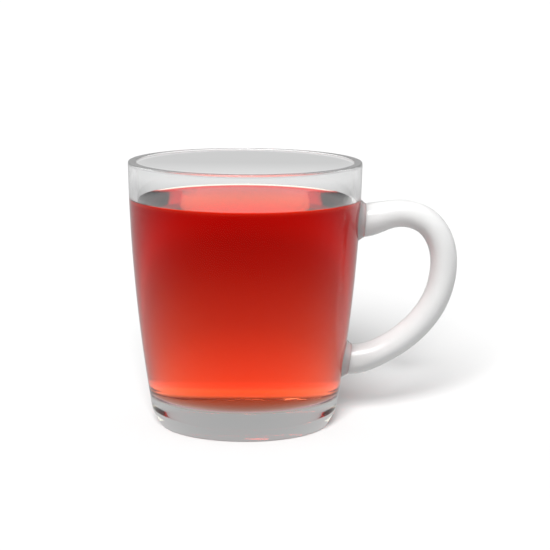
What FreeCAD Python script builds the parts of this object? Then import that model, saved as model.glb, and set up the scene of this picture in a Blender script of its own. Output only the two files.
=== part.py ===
"""Glass mug of tea: clear mug body with two handle pads, white glass handle, and the tea inside.

Millimetres, +Z up. The origin is the centre of the mug's underside, the mug's axis is Z and the
handle points along +X.
"""
import os
import FreeCAD, Part
import math

# ---- driving dimensions (mm) ----
HEIGHT = 91.5        # underside to the top of the lip
RIM_R = 40.0         # outer radius at the lip
FOOT_R = 32.85       # outer radius just above the rounded foot
FOOT_Z = 11.0        # height at which FOOT_R is measured
WALL_BOW = 1.42      # how far the wall bows out from the straight line between foot and lip
FOOT_ROUND = 8.0     # radius of the rounded lower edge
WALL = 2.8           # wall thickness; the lip is a full round of this thickness
FLOOR = 10.3         # thickness of the solid glass bottom
INNER_ROUND = 4.0    # radius inside, where the wall meets the floor
TEA_LEVEL = 78.2     # height of the tea's surface

PAD_TOP_Z = 71.3     # height of the upper pad's centre
PAD_LOW_Z = 22.9     # height of the lower pad's centre
PAD_PROUD = 1.8      # how far a pad's flat face stands off the wall
PAD_SINK = 1.5       # how far a pad's root reaches into the wall
PAD_MARGIN = 0.35    # pad face beyond the handle's end, all round
PAD_SPREAD = 0.6     # how much a pad widens for each mm below its face

HANDLE_OUT = 28.8    # furthest the handle's centre line stands out from the line between the pads
HANDLE_THICK = 9.2   # handle section, seen from the side
HANDLE_WIDE = 10.6   # handle section, across
FLARE_TOP = 2.2      # extra thickness at the upper end
FLARE_LOW = 1.3      # extra thickness at the lower end
FLARE_RUN = 7.0      # length over which the ends flare

# Handle centre line between the two pads: (share of HANDLE_OUT, share of the height between pads).
HANDLE_LINE = [
    (0.36, 1.05), (0.72, 1.00), (0.95, 0.82), (1.00, 0.62), (0.94, 0.43), (0.73, 0.23), (0.37, 0.065),
]
ROOT_RUN = 4.0       # how far the centre line has gone when it has left a pad
ROOT_RISE_TOP = 1.0  # height gained over that run at the upper pad
ROOT_RISE_LOW = 0.5  # and at the lower pad
STATIONS = 22        # sections along the handle
RING = 28            # points round each section

V = FreeCAD.Vector


# ---- the wall's arc, shared by everything that touches the wall ----
def wall_arc():
    """Centre (x, z) and radius of the arc that the outer wall follows."""
    ax, az, bx, bz = FOOT_R, FOOT_Z, RIM_R, HEIGHT - WALL / 2
    chord = math.hypot(bx - ax, bz - az)
    radius = chord * chord / (8 * WALL_BOW) + WALL_BOW / 2
    nx, nz = (bz - az) / chord, -(bx - ax) / chord
    back = radius - WALL_BOW
    return (ax + bx) / 2 - nx * back, (az + bz) / 2 - nz * back, radius


CX, CZ, CR = wall_arc()


def on_arc(angle, depth=0.0):
    """Point of the wall at an angle about the arc's centre, depth mm in from the outside."""
    r = CR - depth
    return V(CX + r * math.cos(angle), 0, CZ + r * math.sin(angle))


def angle_at(z, depth=0.0):
    return math.asin((z - CZ) / (CR - depth))


def round_centre(radius, base_z, depth):
    """Centre of a round that is tangent to the level base_z and to the wall's arc at a depth."""
    r, dz = CR - depth - radius, base_z + radius - CZ
    return V(CX + math.sqrt(r * r - dz * dz), 0, base_z + radius)


def round_edge(centre, radius):
    """The round from its lowest point up to the wall: edge, and the angle where it meets the wall."""
    up = math.atan2(centre.z - CZ, centre.x - CX)
    mid = (-math.pi / 2 + up) / 2
    pts = [centre + V(radius * math.cos(a), 0, radius * math.sin(a)) for a in (-math.pi / 2, mid, up)]
    return Part.Arc(*pts).toShape(), up


def wall_edge(low, high, depth):
    mid = (low + high) / 2
    return Part.Arc(on_arc(low, depth), on_arc(mid, depth), on_arc(high, depth)).toShape()


def line(a, b):
    return Part.LineSegment(a, b).toShape()


def revolve(edges):
    face = Part.Face(Part.Wire(Part.__sortEdges__(edges)))
    return face.revolve(V(0, 0, 0), V(0, 0, 1), 360)


# ---- glass ----
def make_bowl():
    foot = round_centre(FOOT_ROUND, 0.0, 0.0)
    foot_edge, foot_up = round_edge(foot, FOOT_ROUND)
    inner = round_centre(INNER_ROUND, FLOOR, WALL)
    inner_edge, inner_up = round_edge(inner, INNER_ROUND)
    top = math.asin((HEIGHT - WALL / 2 - CZ) / (CR - WALL / 2))
    lip = on_arc(top, WALL / 2) + V(-math.sin(top), 0, math.cos(top)) * (WALL / 2)
    return revolve([
        line(V(0, 0, 0), V(foot.x, 0, 0)),
        foot_edge,
        wall_edge(foot_up, top, 0.0),
        Part.Arc(on_arc(top), lip, on_arc(top, WALL)).toShape(),
        wall_edge(inner_up, top, WALL),
        inner_edge,
        line(V(inner.x, 0, FLOOR), V(0, 0, FLOOR)),
        line(V(0, 0, FLOOR), V(0, 0, 0)),
    ])


def make_tea():
    inner = round_centre(INNER_ROUND, FLOOR, WALL)
    inner_edge, inner_up = round_edge(inner, INNER_ROUND)
    top = angle_at(TEA_LEVEL, WALL)
    edge = on_arc(top, WALL)
    return revolve([
        line(V(0, 0, FLOOR), V(inner.x, 0, FLOOR)),
        inner_edge,
        wall_edge(inner_up, top, WALL),
        line(edge, V(0, 0, edge.z)),
        line(V(0, 0, edge.z), V(0, 0, FLOOR)),
    ])


# ---- sections shared by the pads and the handle ----
def ring(centre, normal, tall, wide):
    """Closed oval wire: tall along the section's upward direction, wide along Y."""
    up = V(-normal.z, 0, normal.x)
    pts = []
    for i in range(RING):
        a = 2 * math.pi * i / RING
        pts.append(centre + up * (tall / 2 * math.cos(a)) + V(0, wide / 2 * math.sin(a), 0))
    curve = Part.BSplineCurve()
    curve.interpolate(Points=pts, PeriodicFlag=True)
    return Part.Wire([curve.toShape()])


def pad_frame(z):
    """Centre of a pad's flat face and its outward normal, for a pad at height z on the wall."""
    a = angle_at(z)
    normal = V(math.cos(a), 0, math.sin(a))
    return on_arc(a) + normal * PAD_PROUD, normal


def end_size(flare):
    return HANDLE_THICK + flare, HANDLE_WIDE + flare


def make_pad(z, flare):
    face, normal = pad_frame(z)
    tall, wide = end_size(flare)
    depth = PAD_PROUD + PAD_SINK
    near, far = 2 * PAD_MARGIN, 2 * (PAD_MARGIN + PAD_SPREAD * depth)
    return Part.makeLoft([
        ring(face - normal * depth, normal, tall + far, wide + far),
        ring(face, normal, tall + near, wide + near),
    ], True, True)


# ---- handle ----
def handle_curve():
    (top, n_top), (low, n_low) = pad_frame(PAD_TOP_Z), pad_frame(PAD_LOW_Z)
    pts = [top, top + V(ROOT_RUN, 0, ROOT_RISE_TOP)]
    for out, up in HANDLE_LINE:
        pts.append(V(low.x + (top.x - low.x) * up + out * HANDLE_OUT, 0, low.z + (top.z - low.z) * up))
    pts += [low + V(ROOT_RUN, 0, ROOT_RISE_LOW), low]
    curve = Part.BSplineCurve()
    curve.interpolate(Points=pts)
    return curve, n_top, n_low


def make_handle():
    curve, n_top, n_low = handle_curve()
    total = curve.length()
    rings = []
    for i in range(STATIONS + 1):
        run = total * i / STATIONS
        t = curve.parameterAtDistance(run, curve.FirstParameter)
        p, d = curve.value(t), curve.tangent(t)[0]
        if i == 0:
            d = n_top
        elif i == STATIONS:
            d = n_low * -1
        flare = FLARE_TOP * math.exp(-(run / FLARE_RUN) ** 2)
        flare += FLARE_LOW * math.exp(-((total - run) / FLARE_RUN) ** 2)
        rings.append(ring(p, d, HANDLE_THICK + flare, HANDLE_WIDE + flare))
    return Part.makeLoft(rings, True, False)


glass_body = make_bowl().fuse([make_pad(PAD_TOP_Z, FLARE_TOP), make_pad(PAD_LOW_Z, FLARE_LOW)])
glass_body = glass_body.removeSplitter()
solids = {"glass_body": glass_body.Solids[0], "tea": make_tea(), "handle": make_handle()}

os.makedirs("parts", exist_ok=True)
for name, shape in solids.items():
    if shape.ShapeType != "Solid":
        shape = shape.Solids[0]
    shape.exportStep("parts/%s.step" % name)
    box = shape.BoundBox
    print(name, shape.isValid(), len(shape.Solids), round(shape.Volume, 1),
          [round(v, 3) for v in (box.XMin, box.YMin, box.ZMin, box.XMax, box.YMax, box.ZMax)])
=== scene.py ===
"""Looks of the glass mug of tea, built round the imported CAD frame."""
import math
import bpy
from mathutils import Matrix, Vector


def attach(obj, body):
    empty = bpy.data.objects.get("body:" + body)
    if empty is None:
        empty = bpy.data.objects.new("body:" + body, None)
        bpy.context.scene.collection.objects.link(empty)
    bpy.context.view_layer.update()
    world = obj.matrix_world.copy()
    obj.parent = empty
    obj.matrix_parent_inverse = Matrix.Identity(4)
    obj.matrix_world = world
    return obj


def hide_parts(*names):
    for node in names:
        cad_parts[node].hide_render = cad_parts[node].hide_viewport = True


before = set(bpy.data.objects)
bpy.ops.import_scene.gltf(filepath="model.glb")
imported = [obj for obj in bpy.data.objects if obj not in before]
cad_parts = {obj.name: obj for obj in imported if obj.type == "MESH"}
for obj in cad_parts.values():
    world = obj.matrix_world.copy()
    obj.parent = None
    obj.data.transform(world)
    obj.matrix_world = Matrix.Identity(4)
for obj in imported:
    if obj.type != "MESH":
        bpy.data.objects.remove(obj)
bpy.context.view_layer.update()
MM = 0.001

# ---- sizes of the mug, in mm: the CAD's own, and the finishes that only the looks have ----
RIM_R, HEIGHT = 40.0, 91.5          # outer radius at the lip, and full height
FOOT_R, FOOT_Z = 32.85, 11.0        # outer radius just above the rounded foot, and its height
WALL_BOW, WALL = 1.42, 2.8          # bow of the wall, and its thickness
FLOOR_TOP, INNER_ROUND = 10.3, 4.0  # top of the glass bottom, and the round where it meets the wall
FOOT_ROUND = 8.0                    # round of the foot
FOOT_TILT, FOOT_EDGE = 30.0, 0.4    # the round ends at this tilt, then runs straight to this height
FOOT_BEVEL = 5.0                    # rise of the underside's rim, in degrees
LIP_BAND = 0.9                      # depth of the lip's own finish
LIP_SQUARE = 6.0                    # 2 is a full round; more is flatter on top
TEA_LEVEL = 78.2                    # height of the flat middle of the tea's surface
HANDLE_THICK, HANDLE_WIDE = 9.2, 10.6
PADS = ((71.3, 2.2), (22.9, 1.3))   # each pad's height, and the flare of the handle's end on it
PAD_PROUD, PAD_MARGIN = 1.8, 0.35   # height off the wall, and rim beyond the handle's end
PAD_SPREAD = 0.6                    # widening for each mm down a pad's side
PAD_SKIN = 0.02                     # film of air between a pad and the wall or handle
PAD_EDGE = 0.45                     # round of a pad's edge

# ---- how the tea sits in the glass, in mm ----
INTO_WALL = 0.25                    # the tea reaches this far into the glass
MENISCUS_RISE = 0.8                 # how far the tea climbs the wall
MENISCUS_RUN = 1.6                  # length over which the climb fades to about a third

# ---- fineness of the meshes ----
ROUND_STEPS, PAD_STEPS = 256, 72    # points round a turned piece, and round a pad
WALL_STEPS, LIP_STEPS = 48, 32      # pieces up the wall, and over the lip
FOOT_STEPS, INNER_STEPS = 24, 16    # pieces in the foot's round, and in the inner round
TEA_STEPS, TEA_ROUND_STEPS = 40, 12  # pieces up the tea's side, and in its lower round
MENISCUS_POINTS = 24
SHARP_ANGLE = 40                    # edges that turn by more degrees than this stay crisp
FIT = 0.9994                        # keeps the finer turned pieces inside the CAD pieces' box

# ---- camera ----
AIM = Vector((10.4, 0.0, 51.95)) * MM
DISTANCE = 0.700                    # m
ELEVATION, ROLL = 9.9, 0.40         # degrees
LENS, SENSOR = 133.0, 36.0          # mm


def wall_arc():
    """Centre (x, z) and radius of the arc that the outer wall follows."""
    ax, az, bx, bz = FOOT_R, FOOT_Z, RIM_R, HEIGHT - WALL / 2
    chord = math.hypot(bx - ax, bz - az)
    radius = chord * chord / (8 * WALL_BOW) + WALL_BOW / 2
    nx, nz = (bz - az) / chord, -(bx - ax) / chord
    back = radius - WALL_BOW
    return (ax + bx) / 2 - nx * back, (az + bz) / 2 - nz * back, radius


ARC_X, ARC_Z, ARC_R = wall_arc()


def wall_radius(z, depth):
    """Radius of the wall at height z, depth mm in from the outside."""
    r = ARC_R - depth
    return ARC_X + math.sqrt(r * r - (z - ARC_Z) ** 2)


def arc_point(angle, depth):
    """(radius, height) of the wall at an angle about its arc's centre, depth mm in."""
    r = ARC_R - depth
    return ARC_X + r * math.cos(angle), ARC_Z + r * math.sin(angle)


def round_points(radius, base_z, depth, steps):
    """Round between the level base_z and the wall, from below, and the angle where it meets the wall."""
    reach = ARC_R - depth - radius
    cx, cz = ARC_X + math.sqrt(reach ** 2 - (base_z + radius - ARC_Z) ** 2), base_z + radius
    up = math.atan2(cz - ARC_Z, cx - ARC_X)
    turns = [-math.pi / 2 + (up + math.pi / 2) * i / steps for i in range(steps + 1)]
    return [(cx + radius * math.cos(a), cz + radius * math.sin(a)) for a in turns], up


def lip_offset(turn):
    """Lip profile, from the outside over the top to the inside, as shares of half the wall."""
    c, n = math.cos(turn), 2 / LIP_SQUARE
    return math.copysign(abs(c) ** n, c), math.sin(turn) ** n


def foot_points(round_part):
    """Foot profile from the underside up: a bevel, a crisp edge, then the upper part of the round."""
    cx, tilt = round_part[0][0], math.radians(FOOT_TILT)
    r, z = cx + FOOT_ROUND * math.cos(tilt), FOOT_ROUND * (1 - math.sin(tilt))
    edge = r - (z - FOOT_EDGE) * math.tan(tilt)
    flat = edge - FOOT_EDGE / math.tan(math.radians(FOOT_BEVEL))
    return [(flat * 0.97, 0.0), (flat, 0.0), (edge, FOOT_EDGE), (r, z)] + [p for p in round_part if p[1] > z]


def glass_outline():
    """Outline (radius, height) of the glass from the middle of its underside round to its inner floor."""
    foot, foot_up = round_points(FOOT_ROUND, 0.0, 0.0, FOOT_STEPS)
    inner, inner_up = round_points(INNER_ROUND, FLOOR_TOP, WALL, INNER_STEPS)
    half = WALL / 2
    top = math.asin((HEIGHT - half - ARC_Z) / (ARC_R - half))
    cx, cz = arc_point(top, half)
    points = [(0.0, 0.0)] + foot_points(foot)
    for i in range(1, WALL_STEPS):
        points.append(arc_point(foot_up + (top - foot_up) * i / WALL_STEPS, 0.0))
    for i in range(LIP_STEPS + 1):
        out, up = lip_offset(math.pi * i / LIP_STEPS)
        points.append((cx + half * (out * math.cos(top) - up * math.sin(top)),
                       cz + half * (out * math.sin(top) + up * math.cos(top))))
    for i in range(1, WALL_STEPS):
        points.append(arc_point(top + (inner_up - top) * i / WALL_STEPS, WALL))
    return points + inner[::-1] + [(inner[0][0] * 0.97, FLOOR_TOP), (0.0, FLOOR_TOP)]


def tea_outline():
    """Outline (radius, height) of the tea from the middle of its floor round to the middle of its top."""
    depth = WALL - INTO_WALL
    low, up = round_points(INNER_ROUND + INTO_WALL, FLOOR_TOP - INTO_WALL, depth, TEA_ROUND_STEPS)
    points = [(0.0, low[0][1]), (low[0][0] * 0.97, low[0][1])] + low
    top = math.asin((TEA_LEVEL + MENISCUS_RISE - ARC_Z) / (ARC_R - depth))
    for i in range(1, TEA_STEPS + 1):
        points.append(arc_point(up + (top - up) * i / TEA_STEPS, depth))
    edge = wall_radius(TEA_LEVEL, WALL)
    for i in range(MENISCUS_POINTS):
        run = 5.0 * MENISCUS_RUN * (i / (MENISCUS_POINTS - 1)) ** 1.6
        points.append((edge - run, TEA_LEVEL + MENISCUS_RISE * math.exp(-run / MENISCUS_RUN)))
    return points + [(edge * 0.5, TEA_LEVEL), (0.0, TEA_LEVEL)]


def lathe(outline, verts, faces):
    """Add a closed shell turned about Z, from an outline that starts and ends on the axis."""
    rings = []
    for r, z in outline:
        count = 1 if r <= 0.0 else ROUND_STEPS
        rings.append(list(range(len(verts), len(verts) + count)))
        for i in range(count):
            a = 2 * math.pi * i / ROUND_STEPS
            verts.append((r * math.cos(a) * FIT, r * math.sin(a) * FIT, z * FIT))
    skin_rings(rings, faces)


def skin_rings(rings, faces):
    """Faces between rings of points that follow each other; a ring of one point is a tip."""
    for low, high in zip(rings, rings[1:]):
        steps = max(len(low), len(high))
        for i in range(steps):
            j = (i + 1) % steps
            if len(low) == 1:
                faces.append((low[0], high[j], high[i]))
            elif len(high) == 1:
                faces.append((low[i], low[j], high[0]))
            else:
                faces.append((low[i], low[j], high[j], high[i]))


def pad_point(place, normal, turn, tall, wide, lift):
    """Point of an oval round a pad's axis, lift mm off the wall."""
    u, y = tall * math.cos(turn), wide * math.sin(turn)
    x = place[0] + normal[0] * lift - normal[1] * u
    return Vector((x, y, place[1] + normal[1] * lift + normal[0] * u))


def on_wall(place, normal, turn, tall, wide, spread):
    """Where a pad's side, widening by spread for each mm down, comes to the wall."""
    low, high = -3.0, PAD_PROUD
    for _ in range(30):
        lift = (low + high) / 2
        grow = spread * (PAD_PROUD - lift)
        p = pad_point(place, normal, turn, tall + grow, wide + grow, lift)
        if math.hypot(p.x, p.y) < wall_radius(p.z, 0.0) + PAD_SKIN:
            low = lift
        else:
            high = lift
    return p


def pad(z, flare, verts, faces):
    """Add one clear pad: a low oval boss that the handle's end stands on, its edge rounded."""
    angle = math.asin((z - ARC_Z) / ARC_R)
    place, normal = arc_point(angle, 0.0), (math.cos(angle), math.sin(angle))
    tall, wide = (HANDLE_THICK + flare) / 2 + PAD_MARGIN, (HANDLE_WIDE + flare) / 2 + PAD_MARGIN
    turns = [2 * math.pi * i / PAD_STEPS for i in range(PAD_STEPS)]
    face = PAD_PROUD - PAD_SKIN
    rings = [[pad_point(place, normal, 0, 0, 0, face)]]
    for share in (0.4, 0.8):
        rings.append([pad_point(place, normal, t, tall * share, wide * share, face) for t in turns])
    for i in range(7):
        a = math.pi / 2 * i / 6
        cut, drop = PAD_EDGE * (1 - math.sin(a)), PAD_EDGE * (1 - math.cos(a))
        rings.append([pad_point(place, normal, t, tall - cut, wide - cut, face - drop) for t in turns])
    for share in (1.0, 0.75, 0.5, 0.25):
        flare = PAD_SPREAD if share == 1.0 else 0.0
        rings.append([on_wall(place, normal, t, tall * share, wide * share, flare) for t in turns])
    rings.append([on_wall(place, normal, 0, 0, 0, 0)])
    numbered = []
    for ring in rings:
        numbered.append(list(range(len(verts), len(verts) + len(ring))))
        verts.extend(tuple(p) for p in ring)
    skin_rings(numbered, faces)


def make_piece(name, verts, faces):
    """Smooth-shaded object from points in mm, with its sharp edges kept crisp."""
    mesh = bpy.data.meshes.new(name)
    mesh.from_pydata([tuple(c * MM for c in v) for v in verts], [], faces)
    mesh.validate()
    mesh.polygons.foreach_set("use_smooth", [True] * len(mesh.polygons))
    mesh.set_sharp_from_angle(angle=math.radians(SHARP_ANGLE))
    piece = bpy.data.objects.new(name, mesh)
    bpy.context.scene.collection.objects.link(piece)
    return piece


# ---- materials ----
GLASS_IOR, TEA_IOR = 1.5, 1.333
# Painted light and shade on the tea's sides, from the start height set below up to the surface, lighter and
# pinker towards the bottom and deep red towards the top: (share of the height, colour)
TEA_PAINTED_LIGHT = ((0.0, (1, 0.7, 0.8)), (0.3, (0.92, 0.6, 0.8)), (0.5, (0.82, 0.45, 0.7)),
            (0.75, (0.75, 0.12, 0.2)), (0.99, (0.66, 0.01, 0.01)), (1.0, (1, 1, 1)))
TEA_PAINTED_LIGHT_FROM = 10.0                # mm
TEA_LEVEL_TINT = (1, 1, 0.8, 1)     # of the tea's surface and floor


def new_material(name):
    mat = bpy.data.materials.new(name)
    mat.use_nodes = True
    nodes, links = mat.node_tree.nodes, mat.node_tree.links
    nodes.clear()
    out = nodes.new("ShaderNodeOutputMaterial")
    shader = nodes.new("ShaderNodeBsdfPrincipled")
    links.new(shader.outputs["BSDF"], out.inputs["Surface"])
    return mat, nodes, links, shader, out


def set_values(shader, values):
    """Plain values for the shader's sockets."""
    for socket, value in values.items():
        shader.inputs[socket].default_value = value


def grey(value):
    return (value, value, value, 1)


def add_waviness(nodes, links, shader, scale, strength, distance):
    """Very slight unevenness of a pressed surface."""
    coord = nodes.new("ShaderNodeTexCoord")
    noise = nodes.new("ShaderNodeTexNoise")
    noise.inputs["Scale"].default_value = scale
    noise.inputs["Detail"].default_value = 1.0
    links.new(coord.outputs["Object"], noise.inputs["Vector"])
    bump = nodes.new("ShaderNodeBump")
    bump.inputs["Strength"].default_value = strength
    bump.inputs["Distance"].default_value = distance
    links.new(noise.outputs["Fac"], bump.inputs["Height"])
    links.new(bump.outputs["Normal"], shader.inputs["Normal"])


def add_mottle(nodes, links, socket, scale, low, high):
    """Faint cloudy change of colour, between low and high, that no two pieces of glass are free of."""
    coord = nodes.new("ShaderNodeTexCoord")
    noise = nodes.new("ShaderNodeTexNoise")
    noise.inputs["Scale"].default_value = scale
    noise.inputs["Detail"].default_value = 2.0
    links.new(coord.outputs["Object"], noise.inputs["Vector"])
    colour = add_ramp(nodes, links, noise.outputs["Fac"], 0.3, 0.7, ((0.0, low), (1.0, high)))
    links.new(colour, socket)


def object_axis(nodes, links, axis):
    """Socket with the object's own X, Y or Z, in metres."""
    coord = nodes.new("ShaderNodeTexCoord")
    split = nodes.new("ShaderNodeSeparateXYZ")
    links.new(coord.outputs["Object"], split.inputs[0])
    return split.outputs[axis]


def add_ramp(nodes, links, source, low, high, stops):
    """Colours along source, from low to high; stops are (share, colour)."""
    span = nodes.new("ShaderNodeMapRange")
    span.inputs["From Min"].default_value = low
    span.inputs["From Max"].default_value = high
    links.new(source, span.inputs["Value"])
    ramp = nodes.new("ShaderNodeValToRGB")
    ramp.color_ramp.elements[0].position = stops[0][0]
    ramp.color_ramp.elements[0].color = (*stops[0][1], 1)
    ramp.color_ramp.elements[1].position = stops[-1][0]
    ramp.color_ramp.elements[1].color = (*stops[-1][1], 1)
    for share, colour in stops[1:-1]:
        ramp.color_ramp.elements.new(share).color = (*colour, 1)
    links.new(span.outputs["Result"], ramp.inputs["Fac"])
    return ramp.outputs["Color"]


def clear_glass():
    mat, nodes, links, shader, out = new_material("clear_glass_look")
    set_values(shader, {"Base Color": grey(0.99), "Roughness": 0.0, "IOR": GLASS_IOR,
                        "Transmission Weight": 1.0, "Specular Tint": grey(0.1)})
    add_mottle(nodes, links, shader.inputs["Base Color"], 9.0, (0.985, 0.99, 0.99), (0.995, 0.995, 0.995))
    return mat


def lip_glass():
    """The lip's fire-polished edge, a touch milky where light runs round inside it."""
    mat, nodes, links, shader, out = new_material("lip_glass_look")
    set_values(shader, {"Base Color": grey(0.97), "Roughness": 0.05, "IOR": GLASS_IOR,
                        "Transmission Weight": 0.72})
    add_mottle(nodes, links, shader.inputs["Base Color"], 30.0, (0.955, 0.96, 0.96), (0.985, 0.985, 0.985))
    return mat


def pad_glass():
    """The pads' thick glass, greyish where it is seen through its sloping sides."""
    mat, nodes, links, shader, out = new_material("pad_glass_look")
    set_values(shader, {"Base Color": grey(0.85), "Roughness": 0.06, "IOR": GLASS_IOR,
                        "Transmission Weight": 0.65})
    add_mottle(nodes, links, shader.inputs["Base Color"], 120.0, (0.74, 0.74, 0.74), (0.88, 0.88, 0.88))
    return mat


def tea_liquid():
    """Tea with painted light and shade on its sides, lighter towards the bottom and deepest red near the
    top; its level faces have a faint warm tint.
    """
    mat, nodes, links, shader, out = new_material("tea_look")
    height = object_axis(nodes, links, 2)
    # painted light and shade: the sides' colour is lighter low down and darker red high up
    side = add_ramp(nodes, links, height, TEA_PAINTED_LIGHT_FROM * MM, TEA_LEVEL * MM, TEA_PAINTED_LIGHT)
    shape = nodes.new("ShaderNodeNewGeometry")
    split = nodes.new("ShaderNodeSeparateXYZ")
    links.new(shape.outputs["Normal"], split.inputs[0])
    upright = nodes.new("ShaderNodeMath")
    upright.operation = "ABSOLUTE"
    links.new(split.outputs[2], upright.inputs[0])
    level = nodes.new("ShaderNodeMapRange")
    level.inputs["From Min"].default_value = 0.80
    level.inputs["From Max"].default_value = 0.98
    links.new(upright.outputs[0], level.inputs["Value"])
    mix = nodes.new("ShaderNodeMix")
    mix.data_type = "RGBA"
    links.new(level.outputs["Result"], mix.inputs["Factor"])
    links.new(side, mix.inputs[6])
    mix.inputs[7].default_value = TEA_LEVEL_TINT
    links.new(mix.outputs[2], shader.inputs["Base Color"])
    set_values(shader, {"Roughness": 0.06, "IOR": TEA_IOR, "Transmission Weight": 1.0,
                        "Specular Tint": grey(0.0)})
    dye = nodes.new("ShaderNodeVolumeAbsorption")
    set_values(dye, {"Color": (0.955, 0.36, 0.0, 1), "Density": 66.0})
    links.new(dye.outputs["Volume"], out.inputs["Volume"])
    return mat


def white_glass():
    """The handle's opaque white glass, glossy and very slightly uneven."""
    mat, nodes, links, shader, out = new_material("white_glass_look")
    set_values(shader, {"Base Color": grey(0.80), "Roughness": 0.2, "IOR": GLASS_IOR,
                        "Subsurface Weight": 0.5, "Subsurface Radius": (1, 1, 1), "Subsurface Scale": 0.003})
    add_mottle(nodes, links, shader.inputs["Base Color"], 60.0, (0.78, 0.78, 0.775), (0.82, 0.82, 0.82))
    add_waviness(nodes, links, shader, 90.0, 0.25, 0.0002)
    return mat


# Light that the floor sends up through the glass, a painted pool of light round the mug with a painted
# shadow of the mug under it: (distance from the mug's middle in m, strength)
FLOOR_GLOW = ((0.0, 0.36), (0.030, 0.50), (0.036, 1.9), (0.060, 1.9), (0.078, 1.40), (0.17, 1.08),
              (0.31, 0.76), (0.50, 0.60), (0.58, 0.60), (0.66, 0.82), (0.71, 0.74), (0.77, 0.62))
GLOW_TOP = 2.0                      # the ramp holds each strength as a share of this
FLOOR_SOFT, FLOOR_LIFT = 0.6, 0.18  # glow seen by other rays, and glow added in the direct view


def floor_material():
    """White floor: plain to the camera, its own glow with a painted pool of light and a painted shadow under
    the mug to rays through glass, and an even glow to the rest.
    """
    mat, nodes, links, shader, out = new_material("floor_look")
    nodes.remove(shader)
    path = nodes.new("ShaderNodeLightPath")
    coord = nodes.new("ShaderNodeTexCoord")
    length = nodes.new("ShaderNodeVectorMath")
    length.operation = "LENGTH"
    links.new(coord.outputs["Object"], length.inputs[0])
    reach = FLOOR_GLOW[-1][0]
    stops = [(r / reach, (v / GLOW_TOP,) * 3) for r, v in FLOOR_GLOW]
    # painted shadow under the mug and painted pool of light round it, seen only through the glass
    glow = add_ramp(nodes, links, length.outputs["Value"], 0.0, reach, stops)
    seen = nodes.new("ShaderNodeEmission")
    links.new(glow, seen.inputs["Color"])
    seen.inputs["Strength"].default_value = GLOW_TOP
    soft = nodes.new("ShaderNodeEmission")
    soft.inputs["Strength"].default_value = FLOOR_SOFT
    other = nodes.new("ShaderNodeMixShader")
    links.new(path.outputs["Is Transmission Ray"], other.inputs["Fac"])
    links.new(soft.outputs["Emission"], other.inputs[1])
    links.new(seen.outputs["Emission"], other.inputs[2])
    plain = nodes.new("ShaderNodeBsdfDiffuse")
    plain.inputs["Color"].default_value = grey(0.4)
    lift = nodes.new("ShaderNodeEmission")
    lift.inputs["Strength"].default_value = FLOOR_LIFT
    direct = nodes.new("ShaderNodeAddShader")
    links.new(plain.outputs["BSDF"], direct.inputs[0])
    links.new(lift.outputs["Emission"], direct.inputs[1])
    mix = nodes.new("ShaderNodeMixShader")
    links.new(path.outputs["Is Camera Ray"], mix.inputs["Fac"])
    links.new(other.outputs["Shader"], mix.inputs[1])
    links.new(direct.outputs["Shader"], mix.inputs[2])
    links.new(mix.outputs["Shader"], out.inputs["Surface"])
    return mat


# ---- pieces ----
def put_glass():
    verts, faces = [], []
    lathe(glass_outline(), verts, faces)
    turned = len(faces)
    for z, flare in PADS:
        pad(z, flare, verts, faces)
    glass = make_piece("glass_mug", verts, faces)
    glass.data.materials.append(clear_glass())
    glass.data.materials.append(lip_glass())
    glass.data.materials.append(pad_glass())
    for face in glass.data.polygons:
        if face.center.z > (HEIGHT - LIP_BAND) * MM:
            face.material_index = 1
        if face.index >= turned:
            face.material_index = 2
    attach(glass, "root")
    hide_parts("glass_body")
    return glass


def put_tea():
    verts, faces = [], []
    lathe(tea_outline(), verts, faces)
    tea = make_piece("tea_drink", verts, faces)
    tea.data.materials.append(tea_liquid())
    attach(tea, "root")
    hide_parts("tea")
    return tea


def finish_handle():
    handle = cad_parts["handle"]
    for slot in handle.material_slots:
        slot.material = white_glass()
    return handle


# ---- surroundings ----
STUDIO = ((0.0, 0.55), (0.45, 0.6), (0.7, 0.7), (1.0, 0.50))  # from front to back: (share, grey)
STUDIO_STRENGTH = 0.8


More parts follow.
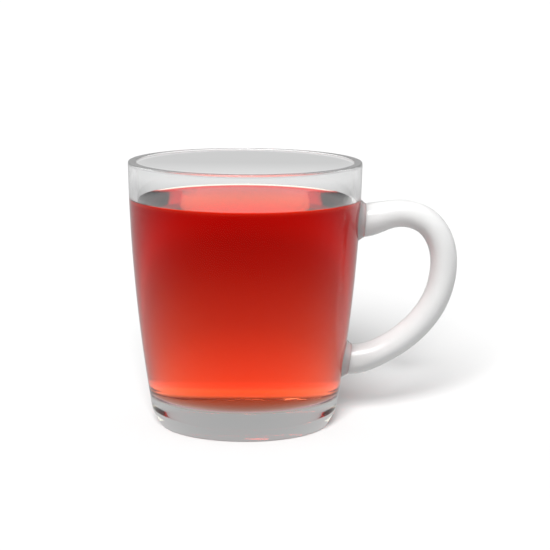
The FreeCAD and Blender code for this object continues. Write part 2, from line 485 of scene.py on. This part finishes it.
def put_floor():
    """Flat floor, a hair above the underside so that the mug's foot rests in it; returns its collection."""
    half, level = 8.0, 0.00005
    corners = [(-half, -half, level), (half, -half, level), (half, half, level), (-half, half, level)]
    mesh = bpy.data.meshes.new("floor")
    mesh.from_pydata(corners, [], [(0, 1, 2, 3)])
    floor = bpy.data.objects.new("floor", mesh)
    bpy.context.scene.collection.objects.link(floor)
    floor.data.materials.append(floor_material())
    group = bpy.data.collections.new("floor_only")
    group.objects.link(floor)
    return group


def put_world():
    """Soft grey studio whose brightness changes gently from front to back."""
    world = bpy.data.worlds.new("studio")
    bpy.context.scene.world = world
    world.use_nodes = True
    nodes, links = world.node_tree.nodes, world.node_tree.links
    nodes.clear()
    out = nodes.new("ShaderNodeOutputWorld")
    back = nodes.new("ShaderNodeBackground")
    y = object_axis(nodes, links, 1)
    stops = [(share, (value,) * 3) for share, value in STUDIO]
    colour = add_ramp(nodes, links, y, -1, 1, stops)
    links.new(colour, back.inputs["Color"])
    back.inputs["Strength"].default_value = STUDIO_STRENGTH
    links.new(back.outputs["Background"], out.inputs["Surface"])


def sun_light(name, direction, spread, power, only):
    """Far soft light from direction, spread in degrees, on the pieces of one collection."""
    data = bpy.data.lights.new(name, "SUN")
    data.angle = math.radians(spread)
    data.energy = power
    lamp = bpy.data.objects.new(name, data)
    lamp.rotation_euler = (-Vector(direction)).to_track_quat("-Z", "Y").to_euler()
    bpy.context.scene.collection.objects.link(lamp)
    lamp.light_linking.receiver_collection = only


def put_camera():
    data = bpy.data.cameras.new("camera")
    data.sensor_width = SENSOR
    data.lens = LENS
    camera = bpy.data.objects.new("camera", data)
    tilt = math.radians(ELEVATION)
    camera.location = AIM + Vector((0, -math.cos(tilt), math.sin(tilt))) * DISTANCE
    look = (AIM - camera.location).to_track_quat("-Z", "Y").to_matrix()
    camera.rotation_euler = (look @ Matrix.Rotation(math.radians(ROLL), 3, "Z")).to_euler()
    bpy.context.scene.collection.objects.link(camera)
    bpy.context.scene.camera = camera


put_camera()
floor_only = put_floor()
mug_only = bpy.data.collections.new("mug_only")
for piece in (put_glass(), put_tea(), finish_handle()):
    mug_only.objects.link(piece)
put_world()
sun_light("overhead", (-0.15, -0.48, 0.865), spread=30, power=3.1, only=mug_only)
sun_light("shadow_maker", (-0.08, -0.87, 0.47), spread=22, power=11.1, only=floor_only)
bpy.context.scene.view_settings.view_transform = "Standard"
